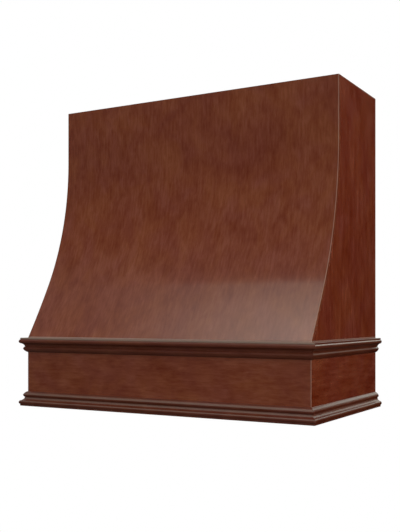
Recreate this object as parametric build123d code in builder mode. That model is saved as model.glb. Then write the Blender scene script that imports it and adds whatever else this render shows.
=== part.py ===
from build123d import *
import os
from math import cos, radians, sin, tan

# A wooden range hood cover: a body with a swept front stands on a moulded base box and hangs
# on a bevelled wall cleat. Millimetres. The wall is the plane y = 0 and the front faces -Y.
# +X is the right-hand side seen from the front. z = 0 is the bottom edge of the base box.

# ---- overall sizes ----
cover_width = 914.4
cover_height = 914.4
top_depth = 304.8
base_depth = 495.3
base_height = 203.2

# ---- the swept front: plumb, then an arc, then a straight slope down to the base ----
sweep_radius = 850.0
flare_angle = 30.5

# ---- stock ----
board = 19.05
skin = 9.5
strip = 38.1
edge_easing = 2.0

# ---- the moulding's section, from its flat edge towards the middle of the base ----
moulding_reach = 19.05
lip_reach = 15.9
lip_height = 5.2
roll_height = 10.8
neck_reach = 6.0
cove_height = 10.0
cove_sink = 2.2
bead_height = 11.6
bead_reach = 9.9
foot_height = 5.4
foot_sink = 0.9

# ---- ribs behind the swept skin ----
rib_spacing = 304.8
rib_depth = 50.8

# ---- rails and cleats at the back ----
hanging_cleat_height = 88.9
wall_cleat_height = 88.9
wall_cleat_length = 812.8
body_rail_height = 88.9
base_rail_height = 139.7

# ---- where the insert sits ----
ledger_lift = 25.4

# ---- screws that the cover is put together with: many, so they and their bores have flats ----
screw_flat_count = 12
screw_radius = 2.1
screw_length = 31.75
head_radius = 5.0
head_height = 3.0
head_sink = 4.0
screw_clearance = 0.15
joint_screw_spacing = 254.0
ledger_screw_spacing = 609.6
side_ledger_screw_spacing = 254.0

# ---- holes for the installer's screws into the wall studs ----
stud_spacing = 406.4
stud_hole_radius = 3.5
stud_hole_rows = 38.1

# ---- worked out from the sizes above ----
half_width = cover_width / 2
inner_half = half_width - board
inner_width = 2 * inner_half
flare = radians(flare_angle)
sweep_bottom = base_height + (
    base_depth - top_depth - sweep_radius * (1 - cos(flare))
) / tan(flare)
sweep_top = sweep_bottom + sweep_radius * sin(flare)
frame_floor = cover_height - board
apron_back = base_depth - board
front_strip_back = apron_back - board
batten_floor = base_height - strip / 2
batten_top = base_height + strip / 2
ledger_top = ledger_lift + strip
hook_height = frame_floor - hanging_cleat_height

os.makedirs("parts", exist_ok=True)


# ---- shapes that several pieces share ----
def slope_y(inset, height):
    """Where the straight slope stands at a height, set back square to its face by inset."""
    return -base_depth + inset / cos(flare) + (height - base_height) * tan(flare)


def swept_line(inset, low, high):
    """Draws the swept front from high to low, set back by inset; returns its two ends."""
    plumb_y = inset - top_depth
    plumb = Line((plumb_y, high), (plumb_y, sweep_top))
    sweep = JernArc(plumb @ 1, (0, -1), sweep_radius + inset, -flare_angle)
    slope_end = (slope_y(inset, low), low)
    Line(sweep @ 1, slope_end)
    return (plumb_y, high), slope_end


def moulding_section(face, outward, flat_edge, inward):
    """Draws the moulding's section against a face: lip, roll, cove, bead and foot.

    face is the base's face across the section and outward the sign that leads away from it.
    flat_edge is the height of the moulding's flat edge and inward the sign that leads from
    there to the middle of the base."""

    def at(reach, drop):
        return (face + outward * reach, flat_edge + inward * drop)

    turn = outward * inward
    roll_end = lip_height + roll_height
    quirk = roll_end + cove_height
    bead_end = quirk + bead_height
    foot_end = bead_end + foot_height
    with BuildLine() as section:
        Line(at(0, 0), at(lip_reach, 0))
        Line(at(lip_reach, 0), at(lip_reach, lip_height))
        ThreePointArc(
            at(lip_reach, lip_height),
            at(moulding_reach, lip_height + roll_height / 2),
            at(lip_reach, roll_end),
        )
        SagittaArc(at(lip_reach, roll_end), at(neck_reach, quirk), turn * cove_sink)
        ThreePointArc(
            at(neck_reach, quirk),
            at(bead_reach, quirk + bead_height / 2),
            at(neck_reach, bead_end),
        )
        SagittaArc(at(neck_reach, bead_end), at(0, foot_end), turn * foot_sink)
        Line(at(0, foot_end), at(0, 0))
    make_face(section.line)


def mirrored(piece):
    """The left-hand twin of a right-hand piece."""
    with BuildPart() as twin:
        mirror(piece.part, about=Plane.YZ)
    return twin


def screw_row(plane, spots):
    """Adds a washer-head screw at each spot: the plane faces the way that it is driven."""
    with BuildSketch(plane) as heads:
        with Locations(*spots):
            RegularPolygon(head_radius, screw_flat_count)
    extrude(heads.sketch, amount=-head_height)
    with BuildSketch(plane) as shanks:
        with Locations(*spots):
            RegularPolygon(screw_radius, screw_flat_count)
    extrude(shanks.sketch, amount=screw_length)


def screw_holes(plane, spots, sink=0.0):
    """Cuts room for a row of screws, with a counterbore where their heads lie sunk."""
    with BuildSketch(plane) as bores:
        with Locations(*spots):
            RegularPolygon(screw_radius + screw_clearance, screw_flat_count)
    extrude(bores.sketch, amount=screw_length + screw_clearance, mode=Mode.SUBTRACT)
    if sink > 0:
        with BuildSketch(plane) as counterbores:
            with Locations(*spots):
                Circle(head_radius + screw_clearance)
        extrude(counterbores.sketch, amount=-sink, mode=Mode.SUBTRACT)


# ---- the planes that split a mitred corner, facing its side piece ----
right_mitre = Plane(origin=(half_width, -base_depth, 0), z_dir=(1, 1, 0))
left_mitre = Plane(origin=(-half_width, -base_depth, 0), z_dir=(-1, 1, 0))

# ---- where the screws go: the seat plane of their heads and their spots on it ----
post_x = inner_half - board / 2
wall_seat = Plane.front.offset(head_sink)
cleat_screw_z = (hook_height + board + frame_floor) / 2
cleat_spots = [
    (x, cleat_screw_z + rise) for x in (-post_x, post_x) for rise in (-strip / 2, strip / 2)
]
body_rail_z = batten_top + (base_height + body_rail_height - batten_top) / 2
base_rail_z = (ledger_top + base_rail_height) / 2
rail_spots = [(x, z) for x in (-post_x, post_x) for z in (base_rail_z, body_rail_z)]

right_batten_seat = Plane.right.offset(inner_half - board)
batten_middle = -(front_strip_back + board) / 2
batten_spots = [
    (batten_middle + side * joint_screw_spacing / 2, base_height + rise)
    for side in (-1, 1)
    for rise in (-strip / 4, strip / 4)
]
ledger_z = ledger_lift + strip / 2
side_ledger_spots = [
    (batten_middle + side * side_ledger_screw_spacing / 2, ledger_z) for side in (-1, 1)
]
front_ledger_seat = Plane.front.offset(front_strip_back)
back_ledger_seat = Plane.back.offset(-2 * board)
ledger_spots = [(side * ledger_screw_spacing / 2, ledger_z) for side in (-1, 1)]

# ==== the body: two side panels, the bent skin over their edges and the ribs behind it ====
with BuildPart() as right_side_panel:
    with BuildSketch(Plane.YZ.offset(inner_half)):
        with BuildLine():
            top_end, bottom_end = swept_line(skin, base_height, cover_height)
            Line(bottom_end, (0, base_height))
            Line((0, base_height), (0, cover_height))
            Line((0, cover_height), top_end)
        make_face()
    extrude(amount=board)
    screw_holes(right_batten_seat, batten_spots)

left_side_panel = mirrored(right_side_panel)

with BuildPart() as curved_front_panel:
    with BuildSketch(Plane.YZ.offset(-half_width)):
        with BuildLine():
            outer_top, outer_bottom = swept_line(0, base_height, cover_height)
            inner_top, inner_bottom = swept_line(skin, base_height, cover_height)
            Line(outer_top, inner_top)
            Line(outer_bottom, inner_bottom)
        make_face()
    extrude(amount=cover_width)
    front_faces = faces().filter_by(lambda face: face.normal_at().Y < -0.5)
    side_edges = front_faces.edges().filter_by(lambda edge: abs(edge.center().X) > inner_half)
    fillet(side_edges, edge_easing)

with BuildPart() as right_rib:
    with BuildSketch(Plane.YZ.offset((rib_spacing - board) / 2)):
        with BuildLine():
            front_top, front_foot = swept_line(skin, batten_floor, frame_floor)
            back_top, back_foot = swept_line(skin + rib_depth, batten_floor, frame_floor)
            Line(front_top, back_top)
            Line(front_foot, back_foot)
        make_face()
        with Locations((-front_strip_back, batten_floor)):
            Rectangle(base_depth, strip, align=(Align.MAX, Align.MIN), mode=Mode.SUBTRACT)
    extrude(amount=board)

left_rib = mirrored(right_rib)

# ==== the base box: an apron of three mitred boards ====
with BuildPart() as apron_ring:
    with BuildSketch():
        Rectangle(cover_width, base_depth, align=(Align.CENTER, Align.MAX))
        Rectangle(inner_width, apron_back, align=(Align.CENTER, Align.MAX), mode=Mode.SUBTRACT)
    extrude(amount=base_height)
    outer_corners = edges().filter_by(Axis.Z).group_by(Axis.Y)[0]
    fillet(outer_corners, edge_easing)

with BuildPart() as apron_front:
    add(apron_ring.part)
    split(bisect_by=right_mitre, keep=Keep.BOTTOM)
    split(bisect_by=left_mitre, keep=Keep.BOTTOM)
    screw_holes(front_ledger_seat, ledger_spots)

with BuildPart() as apron_right:
    add(apron_ring.part)
    split(bisect_by=right_mitre, keep=Keep.TOP)
    split(bisect_by=Plane.YZ, keep=Keep.TOP)
    screw_holes(right_batten_seat, batten_spots)
    screw_holes(right_batten_seat, side_ledger_spots)

apron_left = mirrored(apron_right)


# ==== the mouldings round the base's top and bottom edges, mitred at the front corners ====
def front_moulding(flat_edge, inward):
    """The length across the front."""
    half_length = half_width + moulding_reach
    with BuildPart() as piece:
        with BuildSketch(Plane.YZ.offset(-half_length)):
            moulding_section(-base_depth, -1, flat_edge, inward)
        extrude(amount=2 * half_length)
        split(bisect_by=right_mitre, keep=Keep.BOTTOM)
        split(bisect_by=left_mitre, keep=Keep.BOTTOM)
    return piece


def right_moulding(flat_edge, inward):
    """The length along the right side, square at the wall."""
    with BuildPart() as piece:
        with BuildSketch(Plane.XZ):
            moulding_section(half_width, 1, flat_edge, inward)
        extrude(amount=base_depth + moulding_reach)
        split(bisect_by=right_mitre, keep=Keep.TOP)
    return piece


upper_moulding_front = front_moulding(base_height, -1)
upper_moulding_right = right_moulding(base_height, -1)
upper_moulding_left = mirrored(upper_moulding_right)
lower_moulding_front = front_moulding(0, 1)
lower_moulding_right = right_moulding(0, 1)
lower_moulding_left = mirrored(lower_moulding_right)

# ==== the battens that join the body to the base, inside the seam between them ====
with BuildPart() as front_joining_batten:
    with BuildSketch(Plane.YZ.offset(-inner_half)):
        with BuildLine():
            Polyline(
                (-front_strip_back, batten_floor),
                (-apron_back, batten_floor),
                (-apron_back, base_height),
                (slope_y(skin, base_height), base_height),
                (slope_y(skin, batten_top), batten_top),
                (-front_strip_back, batten_top),
                close=True,
            )
        make_face()
    extrude(amount=inner_width)

with BuildPart() as right_joining_batten:
    with BuildSketch(Plane.XY.offset(batten_floor)):
        with Locations((inner_half, -board)):
            Rectangle(board, front_strip_back - board, align=(Align.MAX, Align.MAX))
    extrude(amount=strip)
    screw_holes(right_batten_seat, batten_spots)

left_joining_batten = mirrored(right_joining_batten)

# ==== the ledgers that an insert hangs from ====
with BuildPart() as front_ledger:
    with BuildSketch(Plane.XY.offset(ledger_lift)):
        with Locations((0, -front_strip_back)):
            Rectangle(inner_width, board, align=(Align.CENTER, Align.MAX))
    extrude(amount=strip)
    screw_holes(front_ledger_seat, ledger_spots)

with BuildPart() as back_ledger:
    with BuildSketch(Plane.XY.offset(ledger_lift)):
        with Locations((0, -board)):
            Rectangle(inner_width, board, align=(Align.CENTER, Align.MAX))
    extrude(amount=strip)
    screw_holes(back_ledger_seat, ledger_spots)

with BuildPart() as right_ledger:
    with BuildSketch(Plane.XY.offset(ledger_lift)):
        with Locations((inner_half, -2 * board)):
            Rectangle(board, front_strip_back - 2 * board, align=(Align.MAX, Align.MAX))
    extrude(amount=strip)
    screw_holes(right_batten_seat, side_ledger_spots)

left_ledger = mirrored(right_ledger)

# ==== glue blocks and posts in the corners ====
with BuildPart() as right_front_block:
    with BuildSketch(Plane.XY.offset(ledger_top)):
        with BuildLine():
            Polyline(
                (inner_half, -apron_back),
                (inner_half, -apron_back + strip),
                (inner_half - strip, -apron_back),
                close=True,
            )
        make_face()
    extrude(amount=batten_floor - ledger_top)

left_front_block = mirrored(right_front_block)

with BuildPart() as right_back_block:
    with BuildSketch(Plane.XY.offset(ledger_top)):
        with Locations((inner_half, -board)):
            Rectangle(board, strip, align=(Align.MAX, Align.MAX))
    extrude(amount=batten_floor - ledger_top)
    screw_holes(wall_seat, rail_spots)

left_back_block = mirrored(right_back_block)

with BuildPart() as right_back_post:
    with BuildSketch(Plane.XY.offset(batten_top)):
        with Locations((inner_half, -board)):
            Rectangle(board, strip, align=(Align.MAX, Align.MAX))
    extrude(amount=frame_floor - batten_top)
    screw_holes(wall_seat, rail_spots)
    screw_holes(wall_seat, cleat_spots)

left_back_post = mirrored(right_back_post)

# ==== the frame round the open top ====
top_skin_back = top_depth - skin
top_strip_back = top_skin_back - strip

with BuildPart() as top_front_rail:
    with BuildSketch(Plane.XY.offset(frame_floor)):
        with Locations((0, -top_strip_back)):
            Rectangle(inner_width, strip, align=(Align.CENTER, Align.MAX))
    extrude(amount=board)

with BuildPart() as top_back_rail:
    with BuildSketch(Plane.XY.offset(frame_floor)):
        Rectangle(inner_width, strip, align=(Align.CENTER, Align.MAX))
    extrude(amount=board)

with BuildPart() as top_right_rail:
    with BuildSketch(Plane.XY.offset(frame_floor)):
        with Locations((inner_half, -strip)):
            Rectangle(strip, top_strip_back - strip, align=(Align.MAX, Align.MAX))
    extrude(amount=board)

top_left_rail = mirrored(top_right_rail)

# ==== the rails across the back ====
with BuildPart() as base_back_rail:
    with BuildSketch(Plane.XZ):
        Rectangle(inner_width, base_rail_height, align=(Align.CENTER, Align.MIN))
    extrude(amount=board)
    screw_holes(wall_seat, rail_spots, head_sink)
    screw_holes(back_ledger_seat, ledger_spots)
    with BuildSketch(Plane.XZ):
        with Locations((0, base_rail_z)):
            with GridLocations(stud_spacing, stud_hole_rows, 2, 1):
                Circle(stud_hole_radius)
    extrude(amount=board, mode=Mode.SUBTRACT)

with BuildPart() as body_back_rail:
    with BuildSketch(Plane.XZ):
        with Locations((0, base_height)):
            Rectangle(inner_width, body_rail_height, align=(Align.CENTER, Align.MIN))
    extrude(amount=board)
    screw_holes(wall_seat, rail_spots, head_sink)

# ==== the hanging cleat and the wall cleat: their bevelled edges hook over each other ====
with BuildPart() as hanging_cleat:
    with BuildSketch(Plane.YZ.offset(-inner_half)):
        with BuildLine():
            Polyline(
                (0, frame_floor),
                (0, hook_height),
                (-board, hook_height + board),
                (-board, frame_floor),
                close=True,
            )
        make_face()
    extrude(amount=inner_width)
    screw_holes(wall_seat, cleat_spots, head_sink)

wall_cleat_floor = hook_height + board - wall_cleat_height
wall_cleat_middle = (wall_cleat_floor + hook_height) / 2

with BuildPart() as wall_cleat:
    with BuildSketch(Plane.YZ.offset(-wall_cleat_length / 2)):
        with BuildLine():
            Polyline(
                (0, wall_cleat_floor),
                (0, hook_height),
                (-board, hook_height + board),
                (-board, wall_cleat_floor),
                close=True,
            )
        make_face()
    extrude(amount=wall_cleat_length)
    with BuildSketch(Plane.XZ):
        with Locations((0, wall_cleat_middle)):
            with GridLocations(stud_spacing, stud_hole_rows, 2, 2):
                Circle(stud_hole_radius)
    extrude(amount=board, mode=Mode.SUBTRACT)

# ==== the screws, one node for each joint ====
with BuildPart() as cleat_screws:
    screw_row(wall_seat, cleat_spots)

with BuildPart() as back_rail_screws:
    screw_row(wall_seat, rail_spots)

with BuildPart() as joining_screws:
    screw_row(right_batten_seat, batten_spots)
    mirror(about=Plane.YZ)

with BuildPart() as ledger_screws:
    screw_row(front_ledger_seat, ledger_spots)
    screw_row(back_ledger_seat, ledger_spots)
    screw_row(right_batten_seat, side_ledger_spots)
    mirror(about=Plane.YZ)

pieces = {
    "left_side_panel": left_side_panel,
    "right_side_panel": right_side_panel,
    "curved_front_panel": curved_front_panel,
    "left_rib": left_rib,
    "right_rib": right_rib,
    "apron_front": apron_front,
    "apron_left": apron_left,
    "apron_right": apron_right,
    "upper_moulding_front": upper_moulding_front,
    "upper_moulding_left": upper_moulding_left,
    "upper_moulding_right": upper_moulding_right,
    "lower_moulding_front": lower_moulding_front,
    "lower_moulding_left": lower_moulding_left,
    "lower_moulding_right": lower_moulding_right,
    "front_joining_batten": front_joining_batten,
    "left_joining_batten": left_joining_batten,
    "right_joining_batten": right_joining_batten,
    "front_ledger": front_ledger,
    "back_ledger": back_ledger,
    "left_ledger": left_ledger,
    "right_ledger": right_ledger,
    "left_front_block": left_front_block,
    "right_front_block": right_front_block,
    "left_back_block": left_back_block,
    "right_back_block": right_back_block,
    "left_back_post": left_back_post,
    "right_back_post": right_back_post,
    "top_front_rail": top_front_rail,
    "top_back_rail": top_back_rail,
    "top_left_rail": top_left_rail,
    "top_right_rail": top_right_rail,
    "base_back_rail": base_back_rail,
    "body_back_rail": body_back_rail,
    "hanging_cleat": hanging_cleat,
    "wall_cleat": wall_cleat,
    "cleat_screws": cleat_screws,
    "back_rail_screws": back_rail_screws,
    "joining_screws": joining_screws,
    "ledger_screws": ledger_screws,
}
for name, piece in pieces.items():
    piece.part.label = name
    export_step(piece.part, f"parts/{name}.step")
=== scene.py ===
import math

import bmesh
import bpy
import numpy as np
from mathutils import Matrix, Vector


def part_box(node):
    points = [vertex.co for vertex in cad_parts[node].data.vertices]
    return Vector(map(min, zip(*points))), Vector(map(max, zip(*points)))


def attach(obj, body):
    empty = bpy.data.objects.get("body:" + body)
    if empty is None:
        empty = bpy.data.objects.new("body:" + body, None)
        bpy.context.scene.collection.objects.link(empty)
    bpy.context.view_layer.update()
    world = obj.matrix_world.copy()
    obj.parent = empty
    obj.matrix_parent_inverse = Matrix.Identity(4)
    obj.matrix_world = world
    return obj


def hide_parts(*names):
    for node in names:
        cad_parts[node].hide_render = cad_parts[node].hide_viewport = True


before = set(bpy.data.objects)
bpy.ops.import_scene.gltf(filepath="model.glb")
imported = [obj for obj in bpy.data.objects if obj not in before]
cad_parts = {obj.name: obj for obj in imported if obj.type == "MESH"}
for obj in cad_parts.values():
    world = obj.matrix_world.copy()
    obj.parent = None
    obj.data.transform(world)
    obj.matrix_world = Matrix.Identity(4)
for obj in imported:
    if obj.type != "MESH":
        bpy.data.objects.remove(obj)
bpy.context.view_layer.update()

# The finish of a wooden range hood cover: stained veneer and mouldings outside, raw plywood and
# poplar inside, zinc screws. Metres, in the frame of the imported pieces: the wall is the plane
# y = 0, the front faces -Y, and z = 0 is the bottom edge of the base.
x_axis, y_axis, z_axis = range(3)

# ==== sizes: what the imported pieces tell, then the rest ====
skin = 0.0095
skin_low, skin_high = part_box("curved_front_panel")
half_width = skin_high.x
cover_height = skin_high.z
base_height = skin_low.z
base_depth = -skin_low.y
top_depth = skin - skin_high.y
board = -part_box("body_back_rail")[0].y
strip = 2 * board
inner_half = half_width - board
apron_back = base_depth - board
front_strip_back = apron_back - board
batten_low, batten_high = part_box("front_joining_batten")
batten_floor = batten_low.z
batten_top = batten_high.z
frame_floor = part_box("top_front_rail")[0].z

sweep_radius = 0.85
flare = math.radians(30.5)
sweep_bottom = base_height + (
    base_depth - top_depth - sweep_radius * (1 - math.cos(flare))
) / math.tan(flare)
sweep_top = sweep_bottom + sweep_radius * math.sin(flare)
rib_depth = 0.0508

# ---- the slope below the sweep keeps a slight hollow, so its light runs on down to the base ----
sweep_turn = math.radians(28.6)
sweep_y = sweep_radius * (math.cos(sweep_turn) - 1) - top_depth
sweep_z = sweep_top - sweep_radius * math.sin(sweep_turn)
slope_turn = 2 * math.atan2(base_depth + sweep_y, sweep_z - base_height) - sweep_turn
slope_radius = (sweep_z - base_height) / (math.sin(slope_turn) - math.sin(sweep_turn))
slope_centre_y = sweep_y - slope_radius * math.cos(sweep_turn)
slope_centre_z = sweep_z + slope_radius * math.sin(sweep_turn)

# ---- how far edges are eased, and how many points go to each line ----
corner_easing = 0.002
board_easing = 0.0006
glue_line = 0.00015
arc_steps = 97
flat_steps = 9
slope_steps = 25
corner_steps = 5
support_share = 0.25
sharp_angle = math.radians(35)

# ---- each board's place in the wood it is cut from, by a number worked out from its name ----
offcut_across = 0.173
offcuts_across = 11
offcut_along = 0.31
offcuts_along = 13
moulding_offcut = 0.61
moulding_height_shift = 7

# ---- the moulding's section: how far each part reaches and how high it is ----
moulding_reach = 0.01905
lip_reach = 0.0159
lip_height = 0.0052
lip_easing = 0.0011
roll_height = 0.0108
neck_reach = 0.006
cove_height = 0.01
cove_sink = 0.0022
bead_height = 0.0066
bead_reach = 0.0099
bead_swell = 0.0009
flank_height = 0.0104
flank_swell = 0.0015
section_arc_steps = 17

# ---- the screws ----
screw_length = 0.03175
screw_sides = 36
screw_turn = 0.9
shank_radius = 0.0021
thread_depth = 0.00055
thread_pitch = 0.0026
thread_rows = 78
thread_start = 0.0002
plain_length = 0.002
run_in_length = 0.004
tip_share = 0.1
tip_rows = 6
tip_end = 0.08
head_radius = 0.005
head_height = 0.003
head_sink = 0.004
head_easing = 0.0003
flange_share = 0.3
dome_share = 0.72
dome_rows = 6
dome_power = 0.6
drive_radius = 0.0017
drive_depth = 0.0017
drive_lobes = 6
drive_lobe_share = 0.13
drive_draft = (0.82, 0.97, 1.06)
drive_easing = 0.0001
dome_start_share = 1.35


# ==== meshes from whole arrays of points ====
def ring_faces(rings, around):
    """Quads between each two neighbouring rings of points, as rows of four point numbers."""
    ring, spot = np.meshgrid(np.arange(rings - 1), np.arange(around), indexing="ij")
    beside = (spot + 1) % around
    quads = [ring * around + spot, ring * around + beside]
    quads += [(ring + 1) * around + beside, (ring + 1) * around + spot]
    return np.stack(quads, -1).reshape(-1, 4)


def capped_faces(rings, around, starts=(0,)):
    """The quads of closed tubes of rings, and a face over each end of each tube.

    starts gives the number of each tube's first point."""
    starts = np.asarray(starts)[:, None, None]
    spot = np.arange(around)
    ends = np.stack([spot[::-1], spot + (rings - 1) * around])
    quads = starts + ring_faces(rings, around)
    return quads.reshape(-1, 4).tolist() + (starts + ends).reshape(-1, around).tolist()


def add_object(name, data):
    """Puts an object with this data into the scene, at the origin."""
    holder = bpy.data.objects.new(name, data)
    bpy.context.scene.collection.objects.link(holder)
    return holder


def add_piece(name, node, points, faces, grain):
    """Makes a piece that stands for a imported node, with its grain coordinates on its points.

    Grain coordinates are metres across the grain, through the thickness and along the grain."""
    mesh = bpy.data.meshes.new(name)
    mesh.from_pydata(points.reshape(-1, 3).tolist(), [], faces)
    shell = bmesh.new()
    shell.from_mesh(mesh)
    bmesh.ops.recalc_face_normals(shell, faces=shell.faces)
    shell.to_mesh(mesh)
    shell.free()
    attribute = mesh.attributes.new("grain", "FLOAT_VECTOR", "POINT")
    attribute.data.foreach_set("vector", grain.astype(np.float32).ravel())
    mesh.shade_smooth()
    mesh.set_sharp_from_angle(angle=sharp_angle)
    piece = add_object(name, mesh)
    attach(piece, "cover")
    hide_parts(node)
    return piece


def face_normals(piece):
    """The unit normal of each face, as rows of an array."""
    normals = np.empty(len(piece.data.polygons) * 3, np.float32)
    piece.data.polygons.foreach_get("normal", normals)
    return normals.reshape(-1, 3)


def dress(piece, finishes):
    """Gives a piece its materials: pairs of a material and a test that says which faces have it.

    A test takes the array of face normals, and a later pair goes over an earlier one."""
    normals = face_normals(piece)
    zones = np.zeros(len(normals), np.int32)
    for number, (material, test) in enumerate(finishes):
        piece.data.materials.append(material)
        zones[test(normals)] = number
    piece.data.polygons.foreach_set("material_index", zones)


def facing(axis, sign=0, least=0.7):
    """A test for faces that look along an axis: one way if sign is given, or both ways."""
    if sign:
        return lambda normals: normals[:, axis] * sign > least
    return lambda normals: np.abs(normals[:, axis]) > least


def everywhere(normals):
    """A test for every face."""
    return np.ones(len(normals), bool)


def looking_back(normals):
    """A test for the inner face of the bent skin: towards the wall, and not sideways."""
    return (normals[:, y_axis] > 0.5) & (np.abs(normals[:, x_axis]) < 0.5)


# ==== outlines ====
def rounded_corners(corners, radii):
    """A closed outline with its corners rounded.

    Each corner becomes the arc of a circle that touches both of its edges, as a blend of the
    arc's two end spokes: (sin((1 - t) w) s + sin(t w) e) / sin(w) about the circle's centre, w
    being the turn. A point just off each end of the arc keeps the flats flat."""
    corners = np.asarray(corners, float)
    radii = np.broadcast_to(np.asarray(radii, float), len(corners))[:, None]
    back = np.roll(corners, 1, 0) - corners
    ahead = np.roll(corners, -1, 0) - corners
    back /= np.linalg.norm(back, axis=1, keepdims=True)
    ahead /= np.linalg.norm(ahead, axis=1, keepdims=True)
    turn = np.pi - np.arccos(np.clip((back * ahead).sum(1, keepdims=True), -1, 1))
    length = radii * np.tan(turn / 2)
    start = corners + back * length
    end = corners + ahead * length
    middle = back + ahead
    middle /= np.linalg.norm(middle, axis=1, keepdims=True)
    centre = corners + middle * radii / np.cos(turn / 2)
    share = np.linspace(0, 1, corner_steps)[None, :, None]
    turn = turn[:, :, None]
    spokes = np.sin((1 - share) * turn) * (start - centre)[:, None]
    spokes = spokes + np.sin(share * turn) * (end - centre)[:, None]
    arcs = centre[:, None] + spokes / np.sin(turn)
    before = start + back * length * support_share
    after = end + ahead * length * support_share
    return np.concatenate([before[:, None], arcs, after[:, None]], 1).reshape(-1, 2)


def counter_clockwise(outline):
    """The outline turned so that it runs counter-clockwise, by the sign of its area."""
    ahead = np.roll(outline, -1, 0)
    area = (outline[:, 0] * ahead[:, 1] - outline[:, 1] * ahead[:, 0]).sum()
    return outline if area > 0 else outline[::-1]


def inward(outline):
    """How far each point of an outline moves when its edges all move inwards by 1.

    That is (a + b) / (1 + a.b), a and b being the inward normals of the point's two edges."""
    edge = np.roll(outline, -1, 0) - outline
    edge /= np.linalg.norm(edge, axis=1, keepdims=True)
    ahead = np.stack([-edge[:, 1], edge[:, 0]], 1)
    back = np.roll(ahead, 1, 0)
    return (ahead + back) / (1 + (ahead * back).sum(1, keepdims=True))


def slope_y(inset, height):
    """Where the slope of the front stands at a height, set back by inset: a point of its circle."""
    drop = slope_centre_z - height
    return slope_centre_y + math.sqrt((slope_radius + inset) ** 2 - drop**2)


def swept_front(inset, high, low):
    """The swept front set back by inset, as arrays of y and z that run down from high to low.

    Plumb at y = inset - top_depth; then an arc of radius sweep_radius + inset about a point in
    front of it; then the slope, an arc of radius slope_radius + inset that starts the way the
    first one ends. inset is a row of values, or one value."""
    inset = np.atleast_1d(inset)[None, :]
    turn = np.linspace(0, sweep_turn, arc_steps)[:, None]
    arc_y = (sweep_radius + inset) * np.cos(turn) - sweep_radius - top_depth
    arc_z = sweep_top - (sweep_radius + inset) * np.sin(turn)
    share = np.linspace(0, 1, flat_steps)[:, None]
    plumb_z = high + (arc_z[:1] - high) * share
    plumb_y = arc_y[:1] + 0 * plumb_z
    low_turn = np.arcsin((slope_centre_z - low) / (slope_radius + inset))
    turn = sweep_turn + (low_turn - sweep_turn) * np.linspace(0, 1, slope_steps)[:, None]
    slope = slope_centre_y + (slope_radius + inset) * np.cos(turn)
    slope_z = slope_centre_z - (slope_radius + inset) * np.sin(turn)
    y = np.vstack([plumb_y[:-1], arc_y, slope[1:]])
    z = np.vstack([plumb_z[:-1], arc_z, slope_z[1:]])
    return y, z


def swept_points(inset, high, low):
    """The same line for one inset, as points (y, z)."""
    y, z = swept_front(inset, high, low)
    return np.column_stack([y[:, 0], z[:, 0]])


def moulding_arc(start, end, bulge):
    """Points on the arc from start to end whose middle stands off the chord by bulge.

    The circle's radius is (c^2 / 4 + b^2) / (2 b), c being the chord and b the bulge, and the
    bulge is to the right of the way from start to end if it is positive."""
    start = np.asarray(start, float)
    end = np.asarray(end, float)
    chord = end - start
    length = np.linalg.norm(chord)
    right = np.array([chord[1], -chord[0]]) / length
    radius = (length**2 / 4 + bulge**2) / (2 * bulge)
    centre = (start + end) / 2 + right * (bulge - radius)
    half_turn = math.asin(min(length / 2 / abs(radius), 1))
    lean = np.linspace(-half_turn, half_turn, section_arc_steps)[:, None]
    return centre + radius * (np.cos(lean) * right) + abs(radius) * np.sin(lean) * chord / length


def moulding_section():
    """The moulding's outline as (reach, drop): lip, roll, cove, bead and flank, then its back.

    The lip's outer edge is eased by a quarter circle."""
    roll_end = lip_height + roll_height
    quirk = roll_end + cove_height
    bead_tip = quirk + bead_height
    flank_end = bead_tip + flank_height
    turn = np.linspace(0, np.pi / 2, corner_steps)
    centre = np.array([lip_reach - lip_easing, lip_easing])
    edge = centre + lip_easing * np.column_stack([np.sin(turn), -np.cos(turn)])
    roll_swell = moulding_reach - lip_reach
    roll = moulding_arc((lip_reach, lip_height), (lip_reach, roll_end), roll_swell)
    cove = moulding_arc((lip_reach, roll_end), (neck_reach, quirk), -cove_sink)
    bead = moulding_arc((neck_reach, quirk), (bead_reach, bead_tip), bead_swell)
    flank = moulding_arc((bead_reach, bead_tip), (0, flank_end), flank_swell)
    off_edge = (1 + support_share) * lip_easing
    top = [(0, 0), (lip_reach - off_edge, 0)]
    side = [(lip_reach, off_edge)]
    return np.vstack([top, edge, side, roll, cove[1:], bead[1:], flank[1:]])


# ==== pieces ====
def board_piece(name, node, outline, axis, reach, easing, grain_axes):
    """A board: an outline carried along an axis, with rounded rims round both its end faces.

    Over the rim the outline moves inwards by easing * (1 - sin t) at easing * (1 - cos t) from
    the end, for t from 0 to 90 degrees, with a ring just off each end of the rim."""
    outline = counter_clockwise(np.asarray(outline, float))
    turn = np.linspace(0, np.pi / 2, corner_steps)
    off_rim = easing * (1 + support_share)
    draw = np.concatenate([[off_rim], easing * (1 - np.sin(turn)), [0]])
    rise = np.concatenate([[0], easing * (1 - np.cos(turn)), [off_rim]])
    low, high = reach
    places = np.concatenate([low + rise, high - rise[::-1]])
    draw = np.concatenate([draw, draw[::-1]])
    flat = outline[None] + draw[:, None, None] * inward(outline)[None]
    along = np.broadcast_to(places[:, None, None], flat.shape[:2] + (1,))
    points = np.concatenate([flat[..., :axis], along, flat[..., axis:]], 2).reshape(-1, 3)
    faces = capped_faces(len(places), len(outline))
    return add_piece(name, node, points, faces, board_grain(name, points, grain_axes))


def board_grain(name, points, grain_axes):
    """Grain coordinates of a straight board: across, through and along, from its own corner.

    The letters of grain_axes name the axes. Each board is cut from another place in the wood,
    moved across and along by amounts worked out from its name."""
    order = ["xyz".index(letter) for letter in grain_axes]
    grain = (points - points.min(0))[:, order]
    number = sum((place + 1) * ord(letter) for place, letter in enumerate(name))
    across = offcut_across * (number % offcuts_across)
    along = offcut_along * (number % offcuts_along)
    return grain + np.array([across, 0, along])


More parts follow.
